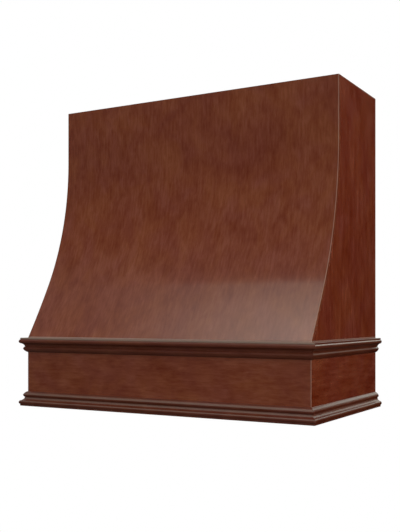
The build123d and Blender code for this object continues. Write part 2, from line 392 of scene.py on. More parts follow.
def rectangle(low, high, axes):
    """The corners of a box's outline across the two axes named."""
    first, second = ("xyz".index(letter) for letter in axes)
    ends = [(low, low), (high, low), (high, high), (low, high)]
    return [(one[first], two[second]) for one, two in ends]


def box_board(node, axis, grain_axes, finishes):
    """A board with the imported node's box, its twelve edges eased."""
    low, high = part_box(node)
    across = "xyz".replace("xyz"[axis], "")
    outline = rounded_corners(rectangle(low, high, across), board_easing)
    piece = board_piece(
        f"{node}_board", node, outline, axis, (low[axis], high[axis]), board_easing,
        grain_axes,
    )
    dress(piece, finishes)


# ==== finishes: tones as (red, green, blue), and ramps as (place, tone) ====
# cells in a metre across, through and along the grain, for the noises of the stained wood
front_streak_cells = (150.0, 60.0, 22.0)
side_streak_cells = (80.0, 60.0, 9.0)
figure_cells = (40.0, 15.0, 19.0)
mottle_cells = (9.5, 6.0, 8.0)
pore_cells = (1500.0, 300.0, 60.0)
hue_cells = (11.0, 6.0, 9.0)
fleck_cells = (210.0, 80.0, 75.0)
figure_share = 0.75
figure_roughness = 0.05
mottle_share = 0.7
mottle_height = 1.5
pore_height = 0.25
hue_tints = [(0.35, (0.97, 0.96, 1.18)), (0.65, (1.02, 1.05, 0.90))]
fleck_tints = [(0.68, (1.0, 1.0, 1.0)), (0.80, (1.05, 1.14, 1.2))]
pore_shades = [(0.3, 0.70), (0.48, 1.0)]
pore_strength = 0.6
lacquer_index = 1.5
veneer_roughness = 0.1
moulding_roughness = 0.3
veneer_contrast = 1.3
moulding_contrast = 1.1
veneer_tones = ((0.089, 0.0117, 0.0027), (0.125, 0.0270, 0.0100), (0.166, 0.0470, 0.0215))
side_tones = ((0.088, 0.0095, 0.0022), (0.122, 0.0218, 0.0086), (0.160, 0.0385, 0.0185))
moulding_tones = ((0.053, 0.0066, 0.0017), (0.075, 0.0150, 0.0060), (0.101, 0.0262, 0.0124))

# the pale colour of filler, which also paints highlights on the mouldings' lip and slopes and along
# the eased corners; a line of it is (low, high, strength)
filler_and_highlight_colour = (0.25, 0.22, 0.175, 1.0)
band_fade = 0.0008
band_roughness = 0.5
foot_line = (base_height + band_fade, base_height + 0.0032, 0.34)
# the lip line is a painted highlight along the front moulding's lip, in the pale filler colour
lip_painted_highlight = (base_height - 0.0038, base_height, 0.42)

# raw plywood and poplar
fibre_strength = 0.6
birch_roughness = 0.68
birch_figure_cells = (26.0, 26.0, 1.8)
birch_fibre_cells = (900.0, 200.0, 14.0)
birch_tones = [(0.3, (0.50, 0.345, 0.20)), (0.5, (0.60, 0.44, 0.28)), (0.72, (0.69, 0.53, 0.36))]
birch_fibre_shades = [(0.3, 0.8), (0.6, 1.0)]
board_plies = 13
skin_plies = 7
ply_waver_cells = (30.0, 0.0, 30.0)
ply_waver = 0.0006
ply_fibre_cells = (700.0, 700.0, 40.0)
ply_end_cells = (1500.0, 1500.0, 1500.0)
ply_long_tones = [(0.3, (0.56, 0.41, 0.26)), (0.7, (0.70, 0.55, 0.38))]
ply_end_tones = [(0.3, (0.27, 0.17, 0.095)), (0.7, (0.47, 0.33, 0.20))]
glue_shades = [(0.42, 1.0), (0.5, 0.42)]
poplar_roughness = 0.66
poplar_pith = (0.041, 0.063, 0.0)
poplar_turning = 0.12
poplar_ring_width = 0.0034
poplar_fibre_cells = (1100.0, 1100.0, 18.0)
poplar_streak_cells = (40.0, 40.0, 2.2)
poplar_tones = [(0.0, (0.50, 0.41, 0.235)), (0.75, (0.60, 0.51, 0.315)), (0.97, (0.38, 0.30, 0.16))]
poplar_green_tints = [(0.48, (1.0, 1.0, 1.0)), (0.75, (0.74, 0.86, 0.70))]
poplar_fibre_shades = [(0.3, 0.78), (0.6, 1.0)]

# zinc plate
zinc_drift_cells = (220.0, 220.0, 220.0)
zinc_scuff_cells = (2500.0, 2500.0, 2500.0)
zinc_tones = [(0.35, (0.60, 0.50, 0.27)), (0.5, (0.66, 0.60, 0.42)), (0.68, (0.62, 0.48, 0.40))]
zinc_least_rough = 0.24
zinc_scuff_rough = 0.2


# ==== materials ====
def fill(tree, node, values):
    """Fills a node's sockets, by name or number.

    A value is a number, a colour, or the socket of another node."""
    for socket, value in values.items():
        if isinstance(value, bpy.types.NodeSocket):
            tree.links.new(value, node.inputs[socket])
        else:
            node.inputs[socket].default_value = value


def add_node(tree, kind, values=None, **settings):
    """Adds a shader node, sets its options, and fills its sockets."""
    node = tree.nodes.new(kind)
    for option, value in settings.items():
        setattr(node, option, value)
    fill(tree, node, values or {})
    return node


def math_of(tree, operation, *values, clamp=False):
    """One step of arithmetic on numbers or sockets."""
    node = add_node(tree, "ShaderNodeMath", dict(enumerate(values)), operation=operation)
    node.use_clamp = clamp
    return node.outputs[0]


def product(tree, *values):
    """Values multiplied together."""
    total = values[0]
    for value in values[1:]:
        total = math_of(tree, "MULTIPLY", total, value)
    return total


def scaled(tree, vector, scale):
    """The vector with each part multiplied by its own factor."""
    values = {0: vector, 1: scale}
    return add_node(tree, "ShaderNodeVectorMath", values, operation="MULTIPLY").outputs[0]


def noise(tree, vector, scale, detail=2.0, roughness=0.5, distortion=0.0):
    """Noise with its own number of cells in a metre along each part of the vector."""
    values = {
        "Vector": scaled(tree, vector, scale),
        "Scale": 1.0,
        "Detail": detail,
        "Roughness": roughness,
        "Distortion": distortion,
    }
    return add_node(tree, "ShaderNodeTexNoise", values).outputs["Fac"]


def wandering(tree, vector, scale, amount):
    """The vector moved across the grain by slow noise, so that the grain isn't ruled straight."""
    values = {"Vector": scaled(tree, vector, scale), "Scale": 1.0}
    slow = add_node(tree, "ShaderNodeTexNoise", values)
    centred = add_node(
        tree, "ShaderNodeVectorMath", {0: slow.outputs["Color"], 1: (0.5, 0.5, 0.5)},
        operation="SUBTRACT",
    )
    values = {0: centred.outputs[0], 1: (amount, 0.0, 0.0), 2: vector}
    return add_node(tree, "ShaderNodeVectorMath", values, operation="MULTIPLY_ADD").outputs[0]


def ramp(tree, factor, stops):
    """A colour ramp of (place, colour) pairs, or of (place, grey) pairs."""
    node = add_node(tree, "ShaderNodeValToRGB", {"Fac": factor})
    elements = node.color_ramp.elements
    while len(elements) < len(stops):
        elements.new(0.5)
    for element, (place, colour) in zip(elements, stops):
        element.position = place
        grey = isinstance(colour, (int, float))
        element.color = (colour, colour, colour, 1) if grey else (*colour, 1)
    return node.outputs["Color"]


def mixed(tree, factor, first, second, kind="MIX"):
    """Two colours mixed in the way that kind names."""
    values = {0: factor, 6: first, 7: second}
    return add_node(tree, "ShaderNodeMix", values, data_type="RGBA", blend_type=kind).outputs[2]


def tinted(tree, colour, tint, strength=1.0):
    """A colour multiplied by a tint, in full or in part."""
    return mixed(tree, strength, colour, tint, kind="MULTIPLY")


def grain_attribute(tree):
    """The grain coordinates that a piece carries on its points."""
    node = add_node(tree, "ShaderNodeAttribute", attribute_name="grain")
    return node.outputs["Vector"]


def coordinate(tree, kind):
    """Where a point is, or which way it looks, in the way that kind names."""
    return add_node(tree, "ShaderNodeTexCoord").outputs[kind]


def parts_of(tree, vector):
    """The x, y and z of a vector."""
    return add_node(tree, "ShaderNodeSeparateXYZ", {0: vector}).outputs


def ray_tests(tree):
    """1 for rays that see the studio as it is shown, and 1 for rays that a surface mirrors."""
    rays = add_node(tree, "ShaderNodeLightPath").outputs
    seen = math_of(tree, "MAXIMUM", rays["Is Camera Ray"], rays["Is Transmission Ray"])
    return seen, rays["Is Glossy Ray"]


def about_mean(tree, value, share):
    """Noise moved to swing evenly about 0, times share: share * (value - 0.5)."""
    return math_of(tree, "MULTIPLY_ADD", value, share, -share / 2)


def new_material(name):
    """A material with a principled shader, and its node tree and shader."""
    material = bpy.data.materials.new(name)
    material.use_nodes = True
    tree = material.node_tree
    tree.nodes.clear()
    shader = add_node(tree, "ShaderNodeBsdfPrincipled")
    add_node(tree, "ShaderNodeOutputMaterial", {"Surface": shader.outputs[0]})
    return material, tree, shader


def bump(tree, shader, height, distance):
    """Raises the surface by height times distance."""
    values = {"Height": height, "Distance": distance, "Strength": 1.0}
    fill(tree, shader, {"Normal": add_node(tree, "ShaderNodeBump", values).outputs[0]})


def window(tree, value, start, full, low=0.0, high=1.0):
    """A smooth step from low, where value is at start, to high, where it is at full."""
    limits = {"Value": value, "From Min": start, "From Max": full, "To Min": low, "To Max": high}
    node = add_node(tree, "ShaderNodeMapRange", limits, interpolation_type="SMOOTHSTEP")
    return node.outputs[0]


def filler_and_highlight_band(tree, colour, rough, low, high, paleness):
    """A pale, dull line between two heights, faded out over band_fade: filler along the panels'
    foot, and a painted highlight on the front moulding's lip.
    """
    height = parts_of(tree, coordinate(tree, "Object"))[z_axis]
    above = window(tree, height, low - band_fade, low)
    below = window(tree, height, high, high + band_fade, 1.0, 0.0)
    band = product(tree, above, below)
    colour = mixed(tree, product(tree, band, paleness), colour, filler_and_highlight_colour)
    return colour, math_of(tree, "MULTIPLY_ADD", band, band_roughness, rough)


def painted_slope_highlight(tree, colour, paleness):
    """Painted highlight: a pale colour on faces that look out and a little up, where the lacquer
    would catch the overhead light.

    It starts where the normal's z is 0.15 and is gone again where it is 0.78, which is for
    normals about 80 to 40 degrees from upright."""
    rise = parts_of(tree, coordinate(tree, "Normal"))[z_axis]
    slope = window(tree, rise, 0.15, 0.4, 0.0, paleness)
    level = window(tree, rise, 0.5, 0.78, 1.0, 0.0)
    return mixed(tree, product(tree, slope, level), colour, filler_and_highlight_colour)


def painted_corner_highlight(tree, colour, paleness):
    """Painted highlight: a pale line along the eased corners, where faces look partly forwards and
    partly sideways.

    It starts where the normal's x is 0.1 either way and is gone again where it is 0.97."""
    sideways = math_of(tree, "ABSOLUTE", parts_of(tree, coordinate(tree, "Normal"))[x_axis])
    corner = window(tree, sideways, 0.1, 0.3, 0.0, paleness)
    flat = window(tree, sideways, 0.85, 0.97, 1.0, 0.0)
    return mixed(tree, product(tree, corner, flat), colour, filler_and_highlight_colour)


def stained_wood(
    name, tones, contrast, roughness, band=None, slope_highlight=0.0, corner_highlight=0.0, shine=0.5,
    streak_cells=front_streak_cells, streak_detail=6.0,
):
    """Stained fine-grained wood under satin lacquer: streaks, pores, mottles and pale flecks.

    tones are the dark, middle and light ones: the tone is the middle one, moved by the noises
    about their means and times contrast. band says where a pale line runs (filler on the panels,
    a painted highlight on the front moulding's lip), slope_highlight and corner_highlight how
    strong the highlights painted on the slopes and the corners are, and shine is the gloss's
    strength."""
    material, tree, shader = new_material(name)
    grain = grain_attribute(tree)
    bent = wandering(tree, grain, (4.0, 4.0, 1.5), amount=0.006)
    streaks = noise(tree, bent, streak_cells, streak_detail, roughness=0.68)
    figure = noise(tree, bent, figure_cells, detail=3.0, roughness=0.55, distortion=0.4)
    mottle = noise(tree, grain, mottle_cells, distortion=0.5)
    pores = noise(tree, bent, pore_cells, roughness=0.6)
    drift = about_mean(tree, streaks, 1.0)
    drift = math_of(tree, "ADD", drift, about_mean(tree, figure, figure_share))
    drift = math_of(tree, "ADD", drift, about_mean(tree, mottle, mottle_share))
    tone = math_of(tree, "MULTIPLY_ADD", drift, contrast, 0.5, clamp=True)
    colour = ramp(tree, tone, list(zip((0.0, 0.5, 1.0), tones)))
    hue = noise(tree, grain, hue_cells, distortion=0.6)
    colour = tinted(tree, colour, ramp(tree, hue, hue_tints))
    flecks = noise(tree, bent, fleck_cells, detail=1.0, roughness=0.4)
    colour = tinted(tree, colour, ramp(tree, flecks, fleck_tints))
    colour = tinted(tree, colour, ramp(tree, pores, pore_shades), pore_strength)
    rough = math_of(tree, "MULTIPLY_ADD", figure, figure_roughness, roughness)
    # a pale band: filler on the panels, a painted highlight on the front moulding's lip
    if band:
        colour, rough = filler_and_highlight_band(tree, colour, rough, *band)
    # painted highlight on faces that look out and up
    if slope_highlight:
        colour = painted_slope_highlight(tree, colour, slope_highlight)
    # painted highlight along the eased corners
    if corner_highlight:
        colour = painted_corner_highlight(tree, colour, corner_highlight)
    values = {"Base Color": colour, "Roughness": rough, "IOR": lacquer_index}
    fill(tree, shader, {**values, "Specular IOR Level": shine})
    height = product(tree, pores, pore_height)
    height = math_of(tree, "MULTIPLY_ADD", mottle, mottle_height, height)
    bump(tree, shader, height, distance=0.00006)
    return material


def birch_colour(tree, grain):
    """Pale birch face veneer: soft rotary figure along the grain, and fine darker fibres."""
    bent = wandering(tree, grain, (3.0, 3.0, 1.0), amount=0.05)
    figure = noise(tree, bent, birch_figure_cells, detail=4.0, roughness=0.55, distortion=0.5)
    fibres = noise(tree, bent, birch_fibre_cells, detail=3.0, roughness=0.6)
    shade = ramp(tree, fibres, birch_fibre_shades)
    return tinted(tree, ramp(tree, figure, birch_tones), shade, fibre_strength), fibres


def ply_colour(tree, grain, plies, thickness):
    """Plywood's cut edge: plies that show their long grain and their end grain by turns.

    The ply's number is the whole part of depth / thickness * plies, and the glue line is where
    the part left over is near 0 or 1. Slow noise moves the depth by up to half of ply_waver."""
    uneven = noise(tree, grain, ply_waver_cells)
    depth = math_of(tree, "ADD", parts_of(tree, grain)[1], -ply_waver / 2)
    depth = math_of(tree, "MULTIPLY_ADD", uneven, ply_waver, depth)
    layer = product(tree, depth, plies / thickness)
    odd = math_of(tree, "FLOORED_MODULO", math_of(tree, "FLOOR", layer), 2.0)
    fraction = math_of(tree, "FRACT", layer)
    glue = math_of(tree, "ABSOLUTE", math_of(tree, "SUBTRACT", fraction, 0.5))
    fibres = noise(tree, grain, ply_fibre_cells, detail=3.0, roughness=0.6)
    ends = noise(tree, grain, ply_end_cells, roughness=0.7)
    long_grain = ramp(tree, fibres, ply_long_tones)
    end_grain = ramp(tree, ends, ply_end_tones)
    colour = mixed(tree, odd, long_grain, end_grain)
    return tinted(tree, colour, ramp(tree, glue, glue_shades)), ends


def raw_birch(name, edge_plies=0, edge_thickness=board):
    """Unfinished birch plywood: its face, or its cut edge if a number of plies is given."""
    material, tree, shader = new_material(name)
    grain = grain_attribute(tree)
    if edge_plies:
        colour, height = ply_colour(tree, grain, edge_plies, edge_thickness)
    else:
        colour, height = birch_colour(tree, grain)
    fill(tree, shader, {"Base Color": colour, "Roughness": birch_roughness})
    bump(tree, shader, height, distance=0.00012)
    return material


def raw_birch_back(name, plies):
    """Birch plywood for boards that lie flat on the wall: faces by their normal, edges by depth.

    The board's width runs along z, its thickness back along y and its face grain along x."""
    material, tree, shader = new_material(name)
    place = parts_of(tree, coordinate(tree, "Object"))
    depth = product(tree, place[y_axis], -1.0)
    values = {0: place[z_axis], 1: depth, 2: place[x_axis]}
    grain = add_node(tree, "ShaderNodeCombineXYZ", values).outputs[0]
    face, fibres = birch_colour(tree, grain)
    edge, ends = ply_colour(tree, grain, plies, board)
    look = math_of(tree, "ABSOLUTE", parts_of(tree, coordinate(tree, "Normal"))[y_axis])
    flat = math_of(tree, "GREATER_THAN", look, 0.9)
    colour = mixed(tree, flat, edge, face)
    fill(tree, shader, {"Base Color": colour, "Roughness": birch_roughness})
    bump(tree, shader, math_of(tree, "ADD", fibres, ends), distance=0.00008)
    return material


def raw_poplar(name):
    """Unfinished poplar: growth rings about a pith outside the strip, pale with green streaks.

    Ring number is the distance from the pith line, warped by slow noise, over the ring width.
    The distance across folds back after each poplar_turning, so that no strip is far from it."""
    material, tree, shader = new_material(name)
    bent = wandering(tree, grain_attribute(tree), (7.0, 7.0, 1.2), amount=0.012)
    shifted = add_node(tree, "ShaderNodeVectorMath", {0: bent, 1: poplar_pith}, operation="ADD")
    parts = parts_of(tree, shifted.outputs[0])
    across = math_of(tree, "PINGPONG", parts[0], poplar_turning)
    deep = product(tree, parts[1], parts[1])
    radius = math_of(tree, "SQRT", math_of(tree, "ADD", product(tree, across, across), deep))
    rings = math_of(tree, "FRACT", math_of(tree, "DIVIDE", radius, poplar_ring_width))
    fibres = noise(tree, bent, poplar_fibre_cells, detail=3.0, roughness=0.6)
    streak = noise(tree, bent, poplar_streak_cells, detail=3.0)
    green = ramp(tree, streak, poplar_green_tints)
    colour = tinted(tree, ramp(tree, rings, poplar_tones), green)
    colour = tinted(tree, colour, ramp(tree, fibres, poplar_fibre_shades), fibre_strength)
    fill(tree, shader, {"Base Color": colour, "Roughness": poplar_roughness})
    bump(tree, shader, fibres, distance=0.0001)
    return material


def zinc_plate(name):
    """Yellow-passivated zinc: scuffed grey metal with drifts of straw and pink."""
    material, tree, shader = new_material(name)
    place = coordinate(tree, "Object")
    drift = noise(tree, place, zinc_drift_cells, roughness=0.6)
    colour = ramp(tree, drift, zinc_tones)
    scuffs = noise(tree, place, zinc_scuff_cells, roughness=0.6)
    rough = math_of(tree, "MULTIPLY_ADD", scuffs, zinc_scuff_rough, zinc_least_rough)
    fill(tree, shader, {"Base Color": colour, "Metallic": 1.0, "Roughness": rough})
    bump(tree, shader, scuffs, distance=0.00002)
    return material


# both veneers carry a painted highlight along their eased corners
veneer_look = (veneer_contrast, veneer_roughness, foot_line)
veneer = stained_wood("stained_veneer_satin", veneer_tones, *veneer_look, corner_highlight=0.3)
side_veneer = stained_wood(
    "stained_veneer_plain", side_tones, *veneer_look, corner_highlight=0.3,
    streak_cells=side_streak_cells, streak_detail=2.5,
)
# the mouldings carry painted highlights on faces that look out and up, and the front upper one on
# its lip as well
moulding_look = (moulding_tones, moulding_contrast, moulding_roughness)
side_moulding = stained_wood("stained_moulding_satin_painted_highlight", *moulding_look, slope_highlight=0.25)
lipped_moulding = stained_wood("stained_moulding_painted_lip_highlight", *moulding_look, lip_painted_highlight, shine=0.32)
low_moulding = stained_wood("stained_moulding_painted_highlight", *moulding_look, slope_highlight=0.2, shine=0.32)
low_side_moulding = stained_wood(
    "stained_moulding_dull_painted_highlight", *moulding_look, slope_highlight=0.1, shine=0.2
)
birch_face = raw_birch("birch_ply_face")
birch_edge = raw_birch("birch_ply_edge", board_plies)
skin_edge = raw_birch("bent_ply_edge", skin_plies, skin)
birch_back = raw_birch_back("birch_ply_back_boards", board_plies)
poplar = raw_poplar("poplar_strip_raw")
zinc = zinc_plate("zinc_plate_yellow")


# ==== the swept front skin ====
def swept_skin():
    """A bent sheet: the outline across its width, carried down the swept front.

    The outline runs across (x) and into the thickness (inset); each row of the sheet puts it on
    the line that the swept front makes at that inset. Its grain coordinates lie the sheet flat:
    across, through, and the way down the front."""
    corners = [(-half_width, 0), (half_width, 0), (half_width, skin), (-half_width, skin)]
    outline = rounded_corners(corners, [corner_easing, corner_easing, glue_line, glue_line])
    y, z = swept_front(outline[:, 1], cover_height, base_height)
    x = np.broadcast_to(outline[:, 0], y.shape)
    face_y, face_z = swept_front(0, cover_height, base_height)
    steps = np.hypot(np.diff(face_y[:, 0]), np.diff(face_z[:, 0]))
    way_down = np.concatenate([[0], np.cumsum(steps)])
    inset = np.broadcast_to(outline[:, 1], y.shape)
    grain = np.stack([x, inset, np.broadcast_to(way_down[:, None], y.shape)], 2)
    points = np.stack([x, y, z], 2)
    faces = capped_faces(len(y), len(outline))
    return add_piece(
        "swept_front_skin", "curved_front_panel", points, faces, grain.reshape(-1, 3),
    )


skin_piece = swept_skin()
dress(skin_piece, [
    (veneer, everywhere),
    (skin_edge, facing(z_axis, 1, least=0.95)),
    (birch_face, looking_back),
])


# ==== side panels, ribs and the apron ====
def mirror_spans(low, high):
    """The same span on the right and on the left."""
    return (("right", 1, (low, high)), ("left", -1, (-high, -low)))


side_outline = np.vstack([
    swept_points(skin, cover_height, base_height), [(0, base_height), (0, cover_height)],
])
for side, sign, span in mirror_spans(inner_half, half_width):
    panel = board_piece(
        f"{side}_veneered_side", f"{side}_side_panel", side_outline, x_axis, span, glue_line,
        "yxz",
    )
    dress(panel, [
        (birch_edge, everywhere),
        (birch_face, facing(x_axis)),
        (side_veneer, facing(x_axis, sign)),
    ])

rib_low, rib_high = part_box("right_rib")
rib_front = swept_points(skin, frame_floor, batten_top)
rib_back = swept_points(skin + rib_depth, frame_floor, batten_floor)
rib_notch = [(-front_strip_back, batten_top), (-front_strip_back, batten_floor)]
rib_outline = np.vstack([rib_front, rib_notch, rib_back[::-1]])
for side, sign, span in mirror_spans(rib_low.x, rib_high.x):
    rib = board_piece(
        f"{side}_bent_front_rib", f"{side}_rib", rib_outline, x_axis, span, board_easing,
        "yxz",
    )
    dress(rib, [(birch_edge, everywhere), (birch_face, facing(x_axis))])


def corner_arc(first, last):
    """Part of the eased right front corner in plan, from one bearing to another."""
    bearing = np.radians(np.linspace(first, last, corner_steps))
    centre = np.array([half_width - corner_easing, corner_easing - base_depth])
    return centre + corner_easing * np.column_stack([np.cos(bearing), np.sin(bearing)])


def flipped(outline):
    """The outline of the left-hand twin, in plan."""
    return np.asarray(outline) * (-1, 1)


off_corner = corner_easing * (1 + support_share)
front_corner = np.vstack([[(half_width - off_corner, -base_depth)], corner_arc(-90, -45)])
inner_corner = (inner_half, -apron_back)
front_half = np.vstack([front_corner, [inner_corner]])
apron_front_outline = np.vstack([front_half, flipped(front_half)[::-1]])
side_half = np.vstack([corner_arc(-45, 0), [(half_width, off_corner - base_depth)]])
apron_side_outline = np.vstack([side_half, [(half_width, 0), (inner_half, 0), inner_corner]])

apron = board_piece(
    "apron_front_board", "apron_front", apron_front_outline, z_axis, (0, base_height), glue_line,
    "zyx",
)
dress(apron, [
    (birch_edge, everywhere),
    (birch_face, facing(y_axis, 1, least=0.9)),
    (veneer, facing(y_axis, -1, least=0.5)),
    (veneer, facing(z_axis, -1)),
])
for side, sign in (("right", 1), ("left", -1)):
    outline = apron_side_outline if sign > 0 else flipped(apron_side_outline)
    apron = board_piece(
        f"apron_{side}_board", f"apron_{side}", outline, z_axis, (0, base_height), glue_line,
        "zxy",
    )
    dress(apron, [
        (birch_edge, everywhere),
        (birch_face, facing(x_axis, -sign, least=0.9)),
        (side_veneer, facing(x_axis, sign, least=0.5)),
        (side_veneer, facing(z_axis, -1)),
    ])


# ==== mouldings ====
def moulding_piece(name, node, flat_edge, inward_sign, side, wood):
    """One length of moulding: its section at both ends, each end cut by the wall or the mitre.

    A point that reaches out by r from the base stands base_depth + r before the wall, or
    half_width + r beside the centre line, and the two lengths meet where both hold. side is 0
    for the front length, -1 for the left one and 1 for the right one."""
    section = moulding_section()
    reach = section[:, 0]
    height = flat_edge + inward_sign * section[:, 1]
    beside = half_width + reach
    before = -base_depth - reach
    if side == 0:
        ends = [(-beside, before, height), (beside, before, height)]
        along = x_axis
    else:
        ends = [(side * beside, 0 * reach, height), (side * beside, before, height)]
        along = y_axis
    points = np.stack([np.column_stack(end) for end in ends]).reshape(-1, 3)
    around = np.linalg.norm(np.diff(section, axis=0, append=section[:1]), axis=1).cumsum()
    offcut = len(name) * moulding_offcut + flat_edge * moulding_height_shift
    grain = np.column_stack([np.tile(around, 2), np.tile(reach, 2), points[:, along] + offcut])
    faces = capped_faces(2, len(section))
    piece = add_piece(name, node, points, faces, grain)
    dress(piece, [(wood, everywhere)])


for side, sign, upper_wood, lower_wood in (
    ("front", 0, lipped_moulding, low_moulding),
    ("left", -1, side_moulding, low_side_moulding),
    ("right", 1, side_moulding, low_side_moulding),
):
    moulding_piece(
        f"upper_{side}_moulded_length", f"upper_moulding_{side}", base_height, -1, sign, upper_wood
    )
    moulding_piece(
        f"lower_{side}_moulded_length", f"lower_moulding_{side}", 0, 1, sign, lower_wood
    )

# ==== strips of poplar ====
strip_finish = [(poplar, everywhere)]
for node in ("front_ledger", "back_ledger"):
    box_board(node, x_axis, "zyx", strip_finish)
for side in ("left", "right"):
    for node in (f"{side}_ledger", f"{side}_joining_batten"):
        box_board(node, y_axis, "zxy", strip_finish)
    for node in (f"{side}_back_block", f"{side}_back_post"):
        box_board(node, z_axis, "yxz", strip_finish)

batten_outline = [
    (-front_strip_back, batten_floor),
    (-apron_back, batten_floor),
    (-apron_back, base_height),
    (slope_y(skin, base_height), base_height),
    (slope_y(skin, batten_top), batten_top),
    (-front_strip_back, batten_top),
]
batten = board_piece(
    "front_joining_batten_board", "front_joining_batten", batten_outline, x_axis,
    (-inner_half, inner_half), board_easing, "zyx",
)
dress(batten, strip_finish)

block_low, block_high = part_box("right_front_block")
block_corners = [
    (inner_half, -apron_back), (inner_half, strip - apron_back), (inner_half - strip, -apron_back),
]
for side, sign in (("right", 1), ("left", -1)):
    outline = rounded_corners(np.array(block_corners) * (sign, 1), board_easing)
    block = board_piece(
        f"{side}_glue_block", f"{side}_front_block", outline, z_axis,
        (block_low.z, block_high.z), board_easing, "yxz",
    )
    dress(block, strip_finish)

# ==== the frame round the open top, and the boards at the back ====
frame_finish = [(birch_edge, everywhere), (birch_face, facing(z_axis))]
for node in ("top_front_rail", "top_back_rail"):
    box_board(node, x_axis, "yzx", frame_finish)
for node in ("top_left_rail", "top_right_rail"):
    box_board(node, y_axis, "xzy", frame_finish)

for node in ("base_back_rail", "body_back_rail", "hanging_cleat", "wall_cleat"):
    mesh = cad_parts[node].data
    mesh.materials.clear()
    mesh.materials.append(birch_back)


# ==== screws ====
def screw_surface():
    """One screw about its own axis: arrays of how far out, and how far along the way it is driven.

    From the six-lobed drive in its domed washer head down the shank to the tip. The drive's rim
    is drive_radius * (1 + drive_lobe_share * cos 6a) at bearing a. The thread stands out by
    thread_depth times the cube of a wave of z / thread_pitch - a / 2 pi."""
    bearing = np.linspace(0, 2 * np.pi, screw_sides, endpoint=False)[None, :]
    lobes = drive_radius * (1 + drive_lobe_share * np.cos(drive_lobes * bearing))
    floor_draft, wall_draft, rim_draft = drive_draft
    flange = flange_share * head_height
    rows = [
        (floor_draft * lobes, drive_depth - head_height),
        (wall_draft * lobes, -head_height + drive_easing),
        (rim_draft * lobes, -head_height),
    ]
    round_turn = np.linspace(0, np.pi / 2, dome_rows)[:, None]
    dome_start = drive_radius * dome_start_share
    dome_out = dome_start + (dome_share * head_radius - dome_start) * np.sin(round_turn)
    dome_up = -flange - (head_height - flange) * np.cos(round_turn) ** dome_power
    rows += zip(dome_out, dome_up)
    rows += [(head_radius - head_easing, -flange), (head_radius, head_easing - flange)]
    rows += [(head_radius, 0.0), (shank_radius, 0.0)]
    down = np.linspace(thread_start, screw_length * (1 - tip_share), thread_rows)[:, None]
    phase = down / thread_pitch - bearing / (2 * np.pi)
    ridge = (0.5 + 0.5 * np.cos(2 * np.pi * phase)) ** 3
    run_in = np.clip((down - plain_length) / run_in_length, 0, 1)
    shank = shank_radius - thread_depth * (1 - ridge) * run_in
    rows += zip(shank, down[:, 0])
    tip = np.linspace(1, tip_end, tip_rows + 1)[1:]
    core = shank_radius - thread_depth
    rows += [(core * share, screw_length * (1 - tip_share * share)) for share in tip]
    out = np.vstack([np.broadcast_to(row[0], bearing.shape) for row in rows])
    along = np.vstack([np.broadcast_to(row[1], bearing.shape) for row in rows])
    return out, along, bearing


def screw_piece(name, node, screws):
    """A group of screws: pairs of the point under a head and the way that it is driven."""
    out, along, bearing = screw_surface()
    axes = np.eye(3)
    points = []
    for number, (seat, drive) in enumerate(screws):
        drive = np.asarray(drive, float)
        first = axes[np.argmin(np.abs(axes @ drive))]
        second = np.cross(drive, first)
        turned = bearing + screw_turn * number
        place = (
            np.asarray(seat, float)
            + (out * np.cos(turned))[..., None] * first
            + (out * np.sin(turned))[..., None] * second
            + along[..., None] * drive
        )
        points.append(place.reshape(-1, 3))
    points = np.vstack(points)
    faces = capped_faces(*out.shape, np.arange(len(screws)) * out.size)
    piece = add_piece(name, node, points, faces, points)
    dress(piece, [(zinc, everywhere)])


def mirrored_screws(screws):
    """The screws and their twins on the other side, each once."""
    twins = [((-x, y, z), (-a, b, c)) for (x, y, z), (a, b, c) in screws]
    return screws + [twin for twin in twins if twin not in screws]


ledger_low, ledger_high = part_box("front_ledger")
base_rail_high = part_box("base_back_rail")[1].z
body_rail_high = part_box("body_back_rail")[1].z
hook_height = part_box("hanging_cleat")[0].z
post_x = inner_half - board / 2
cleat_z = (hook_height + board + frame_floor) / 2
base_rail_z = (ledger_high.z + base_rail_high) / 2
body_rail_z = batten_top + (body_rail_high - batten_top) / 2
ledger_z = (ledger_low.z + ledger_high.z) / 2
batten_middle = -(front_strip_back + board) / 2
seat_x = inner_half - board
joint_screw_spacing = 0.254
ledger_screw_spacing = 0.6096

cleat_screws = [
    ((post_x, -head_sink, cleat_z + rise), (0, -1, 0)) for rise in (-strip / 2, strip / 2)
]
rail_screws = [((post_x, -head_sink, height), (0, -1, 0)) for height in (base_rail_z, body_rail_z)]
joining_screws = [
    ((seat_x, batten_middle + end * joint_screw_spacing / 2, base_height + rise), (1, 0, 0))
    for end in (-1, 1)
    for rise in (-strip / 4, strip / 4)
]
side_ledger_screws = [
    ((seat_x, batten_middle + end * joint_screw_spacing / 2, ledger_z), (1, 0, 0))
    for end in (-1, 1)
]
cross_ledger_screws = [
    ((ledger_screw_spacing / 2, -front_strip_back, ledger_z), (0, -1, 0)),
    ((ledger_screw_spacing / 2, -strip, ledger_z), (0, 1, 0)),
]
for name, node, screws in (
    ("cleat_screw_set", "cleat_screws", cleat_screws),
    ("back_rail_screw_set", "back_rail_screws", rail_screws),
    ("joining_screw_set", "joining_screws", joining_screws),
    ("ledger_screw_set", "ledger_screws", side_ledger_screws + cross_ledger_screws),
):
    screw_piece(name, node, mirrored_screws(screws))

# ==== floor, background, light and camera ====
floor_height = -1.68
floor_radius = 40.0
floor_tones = [(0.3, (0.54, 0.535, 0.53)), (0.7, (0.58, 0.575, 0.57))]
floor_bounce = (0.06, 0.055, 0.05, 1.0)
floor_fade = (0.8, 3.4)
floor_least_fade = 0.62
white = (1.0, 1.0, 1.0, 1.0)

floor_mesh = bpy.data.meshes.new("floor")
floor_corners = [(x, y, floor_height) for x, y in ((-1, -1), (1, -1), (1, 1), (-1, 1))]
floor_points = np.array(floor_corners) * (floor_radius, floor_radius, 1)
floor_mesh.from_pydata(floor_points.tolist(), [], [(0, 1, 2, 3)])
floor = add_object("floor", floor_mesh)
floor.visible_glossy = False


